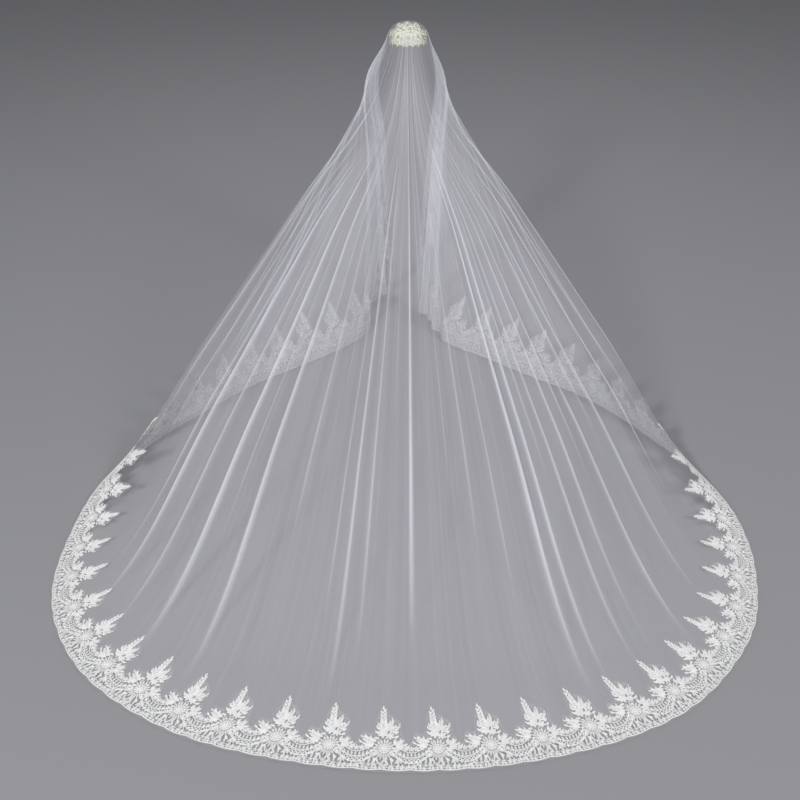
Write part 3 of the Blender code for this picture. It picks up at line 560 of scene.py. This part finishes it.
def lace_repeat():
    r = Repeat()
    mu, mv = MEDAL
    # the peak: a tall spray, two shorter ones beside it, and blossoms at their foot
    r.spray((-1, 168), (-8, 262), 6, (27, 18), (14, 11), 46)
    r.spray((17, 172), (27, 216), 4, (20, 14), (11, 9), 44)
    r.spray((26, 164), (52, 194), 3, (20, 14), (11, 8), 46)
    for u, v, turn, length, width, bend in (
        (2, 196, 10, 30, 12, -10), (8, 186, 24, 26, 12, 0), (-16, 176, -48, 24, 12, 20),
        (-13, 158, -70, 26, 12, 22), (-18, 190, -28, 20, 10, 14), (40, 160, 62, 20, 11, -20),
        (38, 144, 78, 20, 11, -20), (-14, 140, -96, 20, 11, 16), (30, 182, 34, 20, 10, 10),
        (46, 176, 40, 16, 9, -18), (-6, 206, -16, 18, 9, 8),
    ):
        r.leaf(u, v, turn, length, width, bend)
    r.flower(-3, 160, 6, 17, 12, 5.0)
    r.flower(24, 152, 6, 15, 10.5, 4.5)
    r.flower(8, 180, 5, 11, 8.5, 3.5)
    r.ring(10, 134, 8.0, 4.0)
    r.ring(-14, 128, 6.5, 3.0)
    # the medallion: a close disc of petals with a fan of leaves above it
    r.ring(mu, mv, MEDAL_RADIUS, 16.0)
    r.flower(mu, mv, 8, 18.5, 10.0, 5.5)
    for turn in range(-84, 85, 21):
        t = radians(turn)
        r.leaf(mu + sin(t) * 20, mv + cos(t) * 20, turn, 19, 8.8)
    # the leafy bump on one side of the peak, and a small one on the other
    r.spray((-30, 116), (-70, 140), 4, (23, 15), (12, 9), 50)
    for u, v, turn, length, width, bend in (
        (-24, 124, -40, 24, 12, -16), (-34, 108, -90, 26, 12, 14), (-54, 112, -84, 22, 11, 16),
        (-72, 118, -70, 20, 10.5, 24), (-62, 138, -20, 18, 9.5, 16), (-46, 134, -4, 18, 10, 10),
        (44, 104, 84, 26, 12, -14), (56, 116, 50, 20, 11, -20), (36, 120, 40, 22, 12, -20),
        (70, 112, 84, 20, 11, -20), (62, 126, 18, 16, 9.5, -18), (84, 102, 70, 16, 10, -30),
    ):
        r.leaf(u, v, turn, length, width, bend)
    r.spray((40, 112), (66, 128), 3, (17, 12), (10, 8), 48)
    r.flower(-44, 110, 5, 12, 9.5, 4.0)
    r.flower(50, 96, 5, 11, 9, 3.5)
    # the swag: a chain of rings between two cords, with petals fanned above it
    middle = HALF + mu
    x = np.linspace(-74, 74, 27)
    r.cord(np.stack([middle + x, swag_line(x) - 5], axis=1), 6.0)
    r.cord(np.stack([middle + x * 0.93, swag_line(x * 0.97) + 17], axis=1), 6.0)
    r.cord(np.stack([middle + x * 0.70, swag_line(x * 0.86) + 38], axis=1), 5.0)
    for k in range(-4, 5):
        at = k * 15.5
        r.ring(middle + at * 0.97, float(swag_line(at)) + 6.5, 8.2, 3.6)
    for k in range(-5, 6):
        at = k * 12.0
        r.leaf(middle + at, float(swag_line(at)) + 20, k * 9.0, 17 - 0.8 * abs(k), 8.6, -k * 4.0)
    for k in (-2, -1, 0, 1, 2):
        r.flower(middle + k * 19, 96 + 2.5 * abs(k), 5, 10.5, 9, 3.5)
    for k in (-1, 1):
        r.leaf(middle + k * 30, 104, k * 24, 16, 10, -k * 10)
    # curls and a fan of petals under the medallion
    for k in range(-5, 6):
        t = radians(180 + k * 15)
        r.leaf(mu + sin(t) * 21, mv + cos(t) * 21, 180 + k * 15, 26 + 3 * (k % 2), 8.2)
    for side in (-1, 1):
        t = np.linspace(0, 1, 14)
        turn = side * (-pi * 0.5 + t * pi * 1.7)
        size = 15 * (1 - 0.6 * t)
        r.cord(np.stack([mu + side * 34 + np.sin(turn) * size, 74 + np.cos(turn) * size], axis=1), 5.4)
        r.dome(mu + side * 34, 74, 5.0)
        r.leaf(mu + side * 22, 58, side * 136, 20, 11)
        r.leaf(mu + side * 46, 58, side * 100, 20, 11, side * 30)
    # a row of small petals between the swag and the band along the hem
    for k in range(ROW_PETALS):
        u = -HALF + (k + 0.5) * PITCH / ROW_PETALS
        low = min(float(swag_line(((u - mu) % PITCH) - HALF)) - 11, 46.0)
        if low > 30:
            r.leaf(u, 22 + 5 * sin(2.3 * k) + float(edge_line(u)), 24 * sin(1.7 * k), low - 16, 8.4)
    # the close band along the hem
    for k in range(HEM_PETALS):
        u = -HALF + (k + 0.5) * PITCH / HEM_PETALS
        low = float(edge_line(u))
        slant = 34 * sin(2.1 * k + 0.4)
        r.leaf(u, low + 1, slant, 20 + 7 * sin(1.3 * k), 7.8)
        if k % 2:
            r.flower(u, low + 17 + 4 * sin(2.9 * k), 5, 8.0, 6.4, 3.0)
        else:
            r.leaf(u + PITCH / HEM_PETALS / 2, low + 3, -slant, 15, 6.6)
    u = np.linspace(-HALF, HALF, 41)
    r.cord(np.stack([u, edge_line(u)], axis=1), 5.4)
    r.cord(np.stack([u, edge_line(u) + 9], axis=1), 3.0)
    for k in range(FRINGE):
        u = -HALF + (k + 0.5) * PITCH / FRINGE
        low = edge_line(u) - 9.5 + 2.0 * (k % 2)
        r.grid(np.array([[[u - 1.3, edge_line(u), 0.6], [u + 1.3, edge_line(u), 0.6]],
                         [[u - 0.5, low, 0.3], [u + 0.5, low, 0.3]]]))
    return np.concatenate(r.points), np.array(r.faces)


# the lace's own net ends a little outside the leaves: u and v of its inner edge, mm
GROUND_EDGE = np.array([
    (-96.38, 118), (-88, 130), (-84, 150), (-74, 168), (-60, 160), (-48, 160), (-41, 166),
    (-37, 190), (-32, 220), (-26, 252), (-17, 280), (-9, 288), (-1, 280), (9, 260), (14, 246),
    (22, 240), (33, 238), (42, 226), (56, 218), (65, 200), (66, 178), (66, 152), (74, 144),
    (80, 130), (90, 118), (96.38, 118),
], float)

END_POINTS, SIDE_POINTS, CORNER_POINTS, TOP_POINTS = 900, 600, 120, 400     # of the cut's outline


def outline_table():
    """Half of the flat cut's outline, from the middle of the train to the pin: the points, the
    inward direction and the length so far."""
    t = np.linspace(0, pi / 2, END_POINTS)
    straight = CUT_LENGTH - CUT_END
    end = np.stack([CUT_HALF_WIDTH * np.sin(t), straight + CUT_END * np.cos(t)], axis=1)
    side = np.array([(CUT_HALF_WIDTH, y) for y in np.linspace(straight, CUT_CORNER, SIDE_POINTS)[1:]])
    c = np.linspace(0, pi / 2, CORNER_POINTS)[1:]
    corner = np.stack([CUT_HALF_WIDTH - CUT_CORNER + CUT_CORNER * np.cos(c),
                       CUT_CORNER - CUT_CORNER * np.sin(c)], axis=1)
    top = np.array([(x, 0.0) for x in np.linspace(CUT_HALF_WIDTH - CUT_CORNER, 0.0, TOP_POINTS)[1:]])
    points = np.concatenate([end, side, corner, top])
    way = unit(np.gradient(points, axis=0))
    inward = np.stack([way[:, 1], -way[:, 0]], axis=1)
    return points, inward, length_along(points)


OUTLINE, INWARD, OUTLINE_LENGTH = outline_table()


def on_cut(along, depth):
    """Angle and share of points given by their place along the edge and depth in from it."""
    side = np.where(along < 0, -1.0, 1.0)
    at = np.abs(along)
    x, y = (np.interp(at, OUTLINE_LENGTH, OUTLINE[:, i])
            + np.interp(at, OUTLINE_LENGTH, INWARD[:, i]) * depth for i in (0, 1))
    angle = np.degrees(np.arctan2(x * side, np.maximum(y, 0.0)))
    return angle, np.hypot(x, y) / reach(angle)


LACE_RISE = 0.0012          # the edging over the tulle's middle
GROUND_COLUMNS = 25         # in one repeat, beside those at the corners of its inner edge
GROUND_ROWS = 14
GROUND_BELOW = 3.0          # how far the net goes past the hem's cord, mm


def lace_points(along, depth, height):
    angle, share = on_cut(along, depth)
    point, out = cloth(angle, share, fine=False)
    return point + out * (LACE_RISE + height)[..., None]


def repeats_along(numbers, points):
    """Points of a repeat, in millimetres, laid at each numbered place along the edge."""
    along = (numbers[:, None] + 0.5) * PITCH + points[None, :, 0]
    depth = np.broadcast_to(points[None, :, 1], along.shape)
    return along.ravel() / 1000, depth.ravel() / 1000


def make_lace_work(node, first, last, repeat, material):
    """The raised thread of the repeats from first up to last, counted from the train's middle."""
    points, faces = repeat
    numbers = np.arange(first, last)
    along, depth = repeats_along(numbers, points)
    placed = lace_points(along, depth, np.tile(points[:, 2], len(numbers)) / 1000)
    shift = np.arange(len(numbers))[:, None, None] * len(points)
    work = make_mesh(node + "_work", placed, (faces[None] + shift).reshape(-1, 4), material)
    add_uv(work.data, "cut", np.stack([along, depth], axis=-1))
    # the thread's height, which the thread material turns into painted shade at the low edges
    add_attribute(work.data, "raise", np.tile(points[:, 2], len(numbers)))
    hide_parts(node)
    return work


def make_lace_ground(first, last, material):
    """The edging's own net, one strip from one front edge round the train to the other."""
    u = np.unique(np.concatenate([GROUND_EDGE[:, 0], np.linspace(-HALF, HALF, GROUND_COLUMNS)]))[:-1]
    top = np.interp(u, GROUND_EDGE[:, 0], GROUND_EDGE[:, 1])
    low = edge_line(u) - GROUND_BELOW
    numbers = np.arange(first, last)
    columns = np.append(((numbers[:, None] + 0.5) * PITCH + u[None, :]).ravel(), last * PITCH) / 1000
    tops = np.append(np.tile(top, len(numbers)), top[0]) / 1000
    lows = np.append(np.tile(low, len(numbers)), low[0]) / 1000
    rise = np.linspace(0.0, 1.0, GROUND_ROWS)
    depth = lows[:, None] + (tops - lows)[:, None] * rise[None, :]
    along = np.broadcast_to(columns[:, None], depth.shape)
    ground = make_mesh("lace_ground", lace_points(along, depth, np.zeros_like(depth)),
                       grid_faces(len(columns), len(rise)), material)
    add_uv(ground.data, "cut", np.stack([along, depth], axis=-1).reshape(-1, 2))
    add_attribute(ground.data, "fill", ramp(tops[:, None] - depth, 0.006, 0.028))
    area = float(np.trapz(top - low, u)) / 1e6 * len(numbers)
    return ground, area


# ---- headpiece
CAP_OUTSIDE = np.array([0.102, 0.108, 0.112])
CAP_WALL = 0.004
CAP_LOW = 14.0
CAP_PLACE = np.array([0.0, 0.0, HEAD_CENTRE_UP - CROWN_UP])
BLOSSOM_HEIGHT = 0.0175
Ring = namedtuple("Ring", "elevation count radius turn")
BLOSSOM_RINGS = (
    Ring(90.0, 1, 0.024, 0.0),
    Ring(62.0, 6, 0.026, 10.0),
    Ring(34.0, 10, 0.026, 0.0),
)
# Petals of one blossom, from outside in: how many, first turn, length and width as shares of the
# radius, how high the petal's lip stands and how far it curls back
Whorl = namedtuple("Whorl", "count turn length width rise curl")
WHORLS = (
    Whorl(6, 0.0, 1.06, 0.60, 0.42, 0.55),
    Whorl(5, 31.0, 0.80, 0.52, 0.66, 0.34),
    Whorl(4, 12.0, 0.54, 0.42, 0.86, 0.16),
    Whorl(3, 50.0, 0.30, 0.28, 1.00, 0.02),
)
PETAL_GRID = np.meshgrid(np.linspace(-1.0, 1.0, 7), np.linspace(0.0, 1.0, 7), indexing="ij")
ROUND_UNDER = 0.22          # twice the radius of the round that a blossom lies on
BRIM_LEAVES = 22
BRIM_ELEVATION = 19.0
BRIM_LEAF_LENGTH = (0.016, 0.023)
BRIM_LEAF_WIDTH = (0.009, 0.012)
CAP_TOP = 89.0
CAP_TURNS = 144
CAP_ROWS = (26, 18)         # outside and inside
PLEATS = 36
PLEAT_DEPTH = 0.0006


def on_cap(turn, elevation):
    """Point and outward vector on the cap's outside; turn is from the back, degrees."""
    turn, rise = radians(turn), radians(elevation)
    way = bulged(np.array([sin(turn) * cos(rise), -cos(turn) * cos(rise), sin(rise)]))
    normal = np.sign(way) * np.abs(way) ** (HEAD_BULGE - 1) / CAP_OUTSIDE
    return way * CAP_OUTSIDE + CAP_PLACE, normal / np.linalg.norm(normal)


def petal(radius, height, whorl, turn, uneven):
    """One cupped petal with a curled lip, round the blossom's middle, its base at z 0."""
    across, along = PETAL_GRID
    reach_out = radius * whorl.length * (0.10 + 0.90 * along) * (1 + 0.10 * uneven)
    half = radius * whorl.width * np.sin(pi * (0.12 + 0.72 * along)) ** 0.7
    lip = ramp(along, 0.62, 1.0)
    up = height * whorl.rise * (np.sin(pi * 0.5 * along) ** 0.8 - whorl.curl * lip**2)
    up = up + height * 0.16 * across**2 * along + height * 0.05 * np.sin(5 * across + 7 * uneven) * along
    out = reach_out - 0.30 * half * across**2
    t = radians(turn + 9 * uneven)
    x = np.sin(t) * out + np.cos(t) * half * across
    y = np.cos(t) * out - np.sin(t) * half * across
    return np.stack([x, y, up - (x * x + y * y) / ROUND_UNDER], axis=-1)


def small_leaf(length, width):
    """A flat pointed leaf along +y with a fold down its middle."""
    across, along = PETAL_GRID
    half = width / 2 * np.sin(pi * np.clip(along, 0.03, 0.99)) ** 0.8
    return np.stack([half * across, length * along, 0.0015 + 0.0016 * np.abs(across)
                     + 0.003 * np.sin(pi * along)], axis=-1)


def make_blossom(ring, turn, rng):
    """The petals of one blossom of a ring."""
    centre, normal = on_cap(turn, ring.elevation)
    side = np.cross(normal, [0.0, 0.0, 1.0] if ring.elevation < 85 else [0.0, 1.0, 0.0])
    side /= np.linalg.norm(side)
    blossom_axes = np.stack([side, np.cross(normal, side), normal])
    spin = rng.uniform(0, 360)
    height = BLOSSOM_HEIGHT * rng.uniform(0.88, 1.0)
    petals = []
    for whorl in WHORLS:
        for k in range(whorl.count):
            petal_turn = spin + whorl.turn + 360.0 * k / whorl.count
            shape = petal(ring.radius, height, whorl, petal_turn, rng.uniform(-1, 1))
            petals.append(centre + shape @ blossom_axes)
    return petals


def make_brim_leaf(turn, rng):
    """A small leaf that hangs from under the lowest blossoms."""
    turn += rng.uniform(-4, 4)
    centre, normal = on_cap(turn, BRIM_ELEVATION)
    down = np.cross(normal, [cos(radians(turn)), sin(radians(turn)), 0.0])
    down = down / np.linalg.norm(down) * (1 if down[2] < 0 else -1)
    lean = rng.uniform(-0.6, 0.6)
    down = down * cos(lean) + np.cross(down, normal) * sin(lean)
    leaf = small_leaf(rng.uniform(*BRIM_LEAF_LENGTH), rng.uniform(*BRIM_LEAF_WIDTH))
    return centre + leaf @ np.stack([np.cross(down, normal), down, normal])


def make_blossoms(material):
    """All the blossoms and the small leaves under the lowest row, as one mesh."""
    rng = np.random.default_rng(5)
    pieces = []
    for ring in BLOSSOM_RINGS:
        for i in range(ring.count):
            pieces += make_blossom(ring, ring.turn + 360.0 * i / ring.count, rng)
    pieces += [make_brim_leaf(360.0 * i / BRIM_LEAVES, rng) for i in range(BRIM_LEAVES)]
    across, along = PETAL_GRID
    faces = grid_faces(*across.shape)
    shift = (np.arange(len(pieces)) * across.size)[:, None, None]
    obj = make_mesh("blossoms", np.concatenate([q.reshape(-1, 3) for q in pieces]),
                    (faces[None] + shift).reshape(-1, 4), material)
    add_uv(obj.data, "petal", np.tile(np.stack([across, along], axis=-1).reshape(-1, 2), (len(pieces), 1)))
    add_attribute(obj.data, "lip", np.tile(along.ravel(), len(pieces)))
    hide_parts(*[f"blossom_{i:02d}" for i in range(1, 1 + sum(r.count for r in BLOSSOM_RINGS))])
    return obj


def make_cap(material):
    """The covered cap: a pleated outside, a rolled rim and the inside."""
    turns = np.linspace(0.0, 360.0, CAP_TURNS + 1)[:-1]
    rises = np.concatenate([np.linspace(CAP_TOP, CAP_LOW, CAP_ROWS[0]),
                            np.linspace(CAP_LOW, CAP_TOP, CAP_ROWS[1])])
    inside = np.repeat([0.0, 1.0], CAP_ROWS)
    rows = []
    for turn in turns:
        for rise, inner in zip(rises, inside):
            point, normal = on_cap(turn, rise)
            pleat = PLEAT_DEPTH * np.cos(radians(turn) * PLEATS) * cos(radians(rise)) * (1 - inner)
            rows.append(point - normal * (CAP_WALL * inner - pleat + 0.0004 * (1 - inner)))
    n = len(rises)
    faces = []
    for i in range(len(turns)):
        j = (i + 1) % len(turns)
        faces += [(i * n + k, i * n + k + 1, j * n + k + 1, j * n + k) for k in range(n - 1)]
    faces.append(tuple(i * n for i in range(len(turns)))[::-1])
    faces.append(tuple(i * n + n - 1 for i in range(len(turns))))
    obj = make_mesh("cap", rows, faces, material)
    add_uv(obj.data, "petal", np.column_stack([np.repeat(turns, n), np.tile(rises, len(turns))]) / 10.0)
    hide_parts("headpiece_cap")
    return obj


# ---- materials
class Nodes:
    """Short calls for building a material's nodes."""

    def __init__(self, name, **values):
        """values are the shader's constant sockets, spaces in their names written as _."""
        self.material = bpy.data.materials.new(name)
        self.material.use_nodes = True
        self.tree = self.material.node_tree
        self.shader = self.tree.nodes["Principled BSDF"]
        for socket, value in values.items():
            self.shader.inputs[socket.replace("_", " ")].default_value = value

    def add(self, kind, sockets=None, **settings):
        node = self.tree.nodes.new(kind)
        for key, value in settings.items():
            setattr(node, key, value)
        for socket, value in (sockets or {}).items():
            node.inputs[socket].default_value = value
        return node

    def join(self, source, target):
        self.tree.links.new(source, target)

    def shade(self, source, socket):
        self.join(source, self.shader.inputs[socket])

    def maths(self, operation, a, b=0.5, clamp=False):
        node = self.add("ShaderNodeMath", operation=operation, use_clamp=clamp)
        for socket, value in zip(node.inputs, (a, b)):
            if isinstance(value, (int, float)):
                socket.default_value = value
            else:
                self.join(value, socket)
        return node.outputs[0]

    def plus(self, a, b, clamp=False):
        return self.maths("ADD", a, b, clamp)

    def minus(self, a, b, clamp=False):
        return self.maths("SUBTRACT", a, b, clamp)

    def times(self, a, b, clamp=False):
        return self.maths("MULTIPLY", a, b, clamp)

    def attribute(self, name):
        return self.add("ShaderNodeAttribute", attribute_name=name).outputs["Fac"]

    def uv(self, name, scale=(1.0, 1.0, 1.0)):
        coords = self.add("ShaderNodeUVMap", uv_map=name)
        mapping = self.add("ShaderNodeMapping", {"Scale": scale})
        self.join(coords.outputs[0], mapping.inputs[0])
        return mapping.outputs[0]

    def noise(self, vector, scale, detail):
        node = self.add("ShaderNodeTexNoise", {"Scale": scale, "Detail": detail})
        if vector is not None:
            self.join(vector, node.inputs["Vector"])
        return node.outputs["Fac"]

    def cells(self, vector, scale, randomness):
        """Distance to the edge of cells: the threads of a net."""
        node = self.add("ShaderNodeTexVoronoi", {"Scale": scale, "Randomness": randomness},
                        feature="DISTANCE_TO_EDGE")
        self.join(vector, node.inputs["Vector"])
        return node.outputs["Distance"]

    def colour(self, factor, low, high):
        node = self.add("ShaderNodeMix", {"A": (*low, 1.0), "B": (*high, 1.0)}, data_type="RGBA")
        self.join(factor, node.inputs["Factor"])
        self.shade(node.outputs["Result"], "Base Color")

    def bump(self, height, strength, distance):
        node = self.add("ShaderNodeBump", {"Strength": strength, "Distance": distance})
        self.join(height, node.inputs["Height"])
        self.shade(node.outputs[0], "Normal")


# Lines in the net, noise stretched along the fall: scale across and along, then how much closer
# the net lies in them near the head and everywhere
NET_LINES = ((0.55, 0.5, 0.16, 0.0), (1.5, 0.8, 0.12, 0.03))
LEAST_NET, MOST_NET = 0.04, 0.93


def tulle_material():
    n = Nodes("tulle_net", Base_Color=(0.87, 0.87, 0.94, 1.0), Roughness=0.62, Sheen_Weight=0.55,
              Sheen_Roughness=0.35, Specular_IOR_Level=0.25)
    fine = n.noise(n.uv("fan", (1.0, 0.35, 1.0)), 3.2, 3.0)
    wide = n.noise(n.uv("fan", (1.0, 0.9, 1.0)), 0.7, 2.0)
    streak = n.plus(n.times(fine, 0.6), n.times(wide, 0.4))
    streak = n.minus(streak, 0.5)
    depth = n.plus(0.9, n.times(n.attribute("spare"), 2.6))
    factor = n.plus(1.0, n.times(streak, depth))
    alpha = n.times(n.attribute("opacity"), factor)
    # thin lines where the net is drawn together, closest under the head
    high = n.attribute("high")
    for across, along, near_head, everywhere in NET_LINES:
        line = n.noise(n.uv("fan", (across, along, 1.0)), 1.0, 1.0)
        line = n.maths("ABSOLUTE", n.minus(line, 0.5))
        line = n.minus(1.0, n.times(line, 24.0), clamp=True)
        line = n.maths("POWER", line, 2.0)
        weight = n.plus(everywhere, n.times(high, near_head))
        alpha = n.plus(alpha, n.times(line, weight))
    distance = n.cells(n.uv("cut"), 420.0, 0.15)
    thread = n.minus(1.0, n.times(distance, 3.2), clamp=True)
    alpha = n.times(alpha, n.plus(0.65, n.times(thread, 0.95)))
    n.shade(n.maths("MINIMUM", n.maths("MAXIMUM", alpha, LEAST_NET), MOST_NET), "Alpha")
    n.bump(streak, 0.25, 0.002)
    return n.material


def lace_thread_material():
    """Thread that is lighter along the middle of each petal than at its edges: painted shade, darkest
    where the thread lies lowest.
    """
    n = Nodes("lace_thread", Roughness=0.68, Sheen_Weight=0.35, Sheen_Roughness=0.45,
              Specular_IOR_Level=0.3)
    noise = n.noise(n.uv("cut"), 60.0, 3.0)
    # painted shade: the low thread at the edges of petals, rings and cords takes the dark colour
    raised = n.times(n.minus(n.attribute("raise"), 0.35), 0.72, clamp=True)
    shade = n.times(raised, n.plus(0.70, n.times(noise, 0.55)), clamp=True)
    n.colour(shade, (0.43, 0.43, 0.44), (0.95, 0.95, 0.94))
    stitch = n.add("ShaderNodeTexWave", {"Scale": 260.0, "Distortion": 3.0})
    n.join(n.uv("cut"), stitch.inputs["Vector"])
    n.bump(stitch.outputs["Fac"], 0.35, 0.0006)
    return n.material


def lace_net_material():
    """Close stitching between the motifs, opening to plain net along the inner edge. Its grey is painted
    shade in the gaps between the raised motifs.
    """
    # grey base colour: painted shade in the gaps under the raised thread
    n = Nodes("lace_net", Base_Color=(0.74, 0.74, 0.75, 1.0), Roughness=0.72, Sheen_Weight=0.3,
              Specular_IOR_Level=0.25)
    cut = n.uv("cut")
    thread = n.minus(1.0, n.times(n.cells(cut, 330.0, 0.1), 3.0), clamp=True)
    plain = n.plus(0.16, n.times(thread, 0.40))
    distance = n.cells(cut, 120.0, 0.9)
    petal = n.times(n.minus(distance, 0.07), 9.0, clamp=True)
    cloudy = n.noise(cut, 45.0, 2.0)
    petal = n.times(petal, n.plus(0.35, n.times(cloudy, 0.75)))
    petal = n.plus(0.08, n.times(petal, 0.46))
    fill = n.attribute("fill")
    open_part = n.times(plain, n.minus(1.0, fill))
    n.shade(n.plus(open_part, n.times(petal, fill), clamp=True), "Alpha")
    n.bump(distance, 0.4, 0.001)
    return n.material


def petal_material(name, low, high, weave):
    n = Nodes(name, Roughness=0.55, Sheen_Weight=0.45, Sheen_Roughness=0.4, Specular_IOR_Level=0.3,
              Subsurface_Weight=0.12, Subsurface_Radius=(0.004, 0.004, 0.003))
    veins = n.noise(n.uv("petal", (3.0, 0.6, 1.0)), weave, 3.0)
    shade = n.plus(n.times(n.attribute("lip"), 0.75), n.times(veins, 0.35))
    n.colour(n.maths("MINIMUM", shade, 1.0), low, high)
    n.bump(veins, 0.3, 0.0008)
    return n.material


# ---- stage
STAGE_HALF = 40.0
FLOOR_COLOUR = (0.30, 0.30, 0.315)
Light = namedtuple("Light", "name place target size power")
LIGHTS = (
    Light("key", (-5.0, -10.5, 4.6), (0.0, -1.4, -0.9), 2.0, 740.0),
    Light("fill", (7.0, -8.0, 4.2), (0.0, -1.2, -0.9), 3.0, 340.0),
    Light("top", (0.0, 2.5, 7.0), (0.0, -0.6, -0.9), 5.0, 200.0),
)
CAMERA_PLACE = (-0.045, -5.82, 1.206)
CAMERA_DOWN = 32.1          # degrees
CAMERA_LENS = 45.0          # mm, on a sensor 36 mm wide


def make_floor():
    n = Nodes("studio_floor", Roughness=0.9, Specular_IOR_Level=0.1)
    patches = n.add("ShaderNodeMapRange", {"To Min": 0.97, "To Max": 1.03})
    n.join(n.noise(None, 6.0, 3.0), patches.inputs["Value"])
    tint = n.add("ShaderNodeVectorMath", {0: FLOOR_COLOUR}, operation="SCALE")
    n.join(patches.outputs[0], tint.inputs["Scale"])
    n.shade(tint.outputs[0], "Base Color")
    mesh = bpy.data.meshes.new("floor")
    corners = [(x * STAGE_HALF, y * STAGE_HALF, FLOOR) for x, y in ((-1, -1), (1, -1), (1, 1), (-1, 1))]
    mesh.from_pydata(corners, [], [(0, 1, 2, 3)])
    mesh.materials.append(n.material)
    add_object("floor", mesh)


def make_light(light):
    data = bpy.data.lights.new(light.name, "AREA")
    data.shape = "DISK"
    data.size = light.size
    data.energy = light.power
    obj = add_object(light.name, data)
    obj.location = light.place
    obj.rotation_euler = (Vector(light.target) - Vector(light.place)).to_track_quat("-Z", "Y").to_euler()


def make_camera():
    camera = bpy.data.cameras.new("camera")
    camera.lens = CAMERA_LENS
    camera.sensor_width = 36.0
    camera.clip_end = 200.0
    obj = add_object("camera", camera)
    obj.location = CAMERA_PLACE
    obj.rotation_euler = (radians(90.0 - CAMERA_DOWN), 0.0, 0.0)
    bpy.context.scene.camera = obj


def make_stage():
    make_floor()
    world = bpy.data.worlds.new("studio")
    world.use_nodes = True
    background = world.node_tree.nodes["Background"]
    background.inputs["Color"].default_value = (0.80, 0.81, 0.84, 1.0)
    background.inputs["Strength"].default_value = 0.34
    bpy.context.scene.world = world
    bpy.context.scene.view_settings.view_transform = "Standard"
    for light in LIGHTS:
        make_light(light)
    make_camera()


# ---- the veil
make_stage()
bpy.context.scene.cycles.transparent_max_bounces = 32

TULLE_NODES = ("tulle_crown", "tulle_front_left", "tulle_front_right", "tulle_side_left",
               "tulle_side_right", "tulle_back", "tulle_train")
tulle = make_tulle(tulle_material())
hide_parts(*TULLE_NODES)

FRONT_REPEATS = 32          # repeats from the middle of the train to the start on a front edge
TRAIN_REPEATS = 8
LACE_STRETCHES = (
    ("lace_front_left", -FRONT_REPEATS, -PEAKS_EACH_SIDE),
    ("lace_side_left", -PEAKS_EACH_SIDE, -TRAIN_REPEATS),
    ("lace_train_left", -TRAIN_REPEATS, 0),
    ("lace_train_right", 0, TRAIN_REPEATS),
    ("lace_side_right", TRAIN_REPEATS, PEAKS_EACH_SIDE),
    ("lace_front_right", PEAKS_EACH_SIDE, FRONT_REPEATS),
)
repeat = lace_repeat()
thread = lace_thread_material()
ground, ground_area = make_lace_ground(-FRONT_REPEATS, FRONT_REPEATS, lace_net_material())
works = [make_lace_work(*stretch, repeat, thread) for stretch in LACE_STRETCHES]

make_blossoms(petal_material("petals", (0.70, 0.71, 0.50), (0.93, 0.94, 0.82), 4.0))
make_cap(petal_material("cap_cover", (0.80, 0.80, 0.66), (0.88, 0.88, 0.76), 9.0))

bpy.context.view_layer.update()
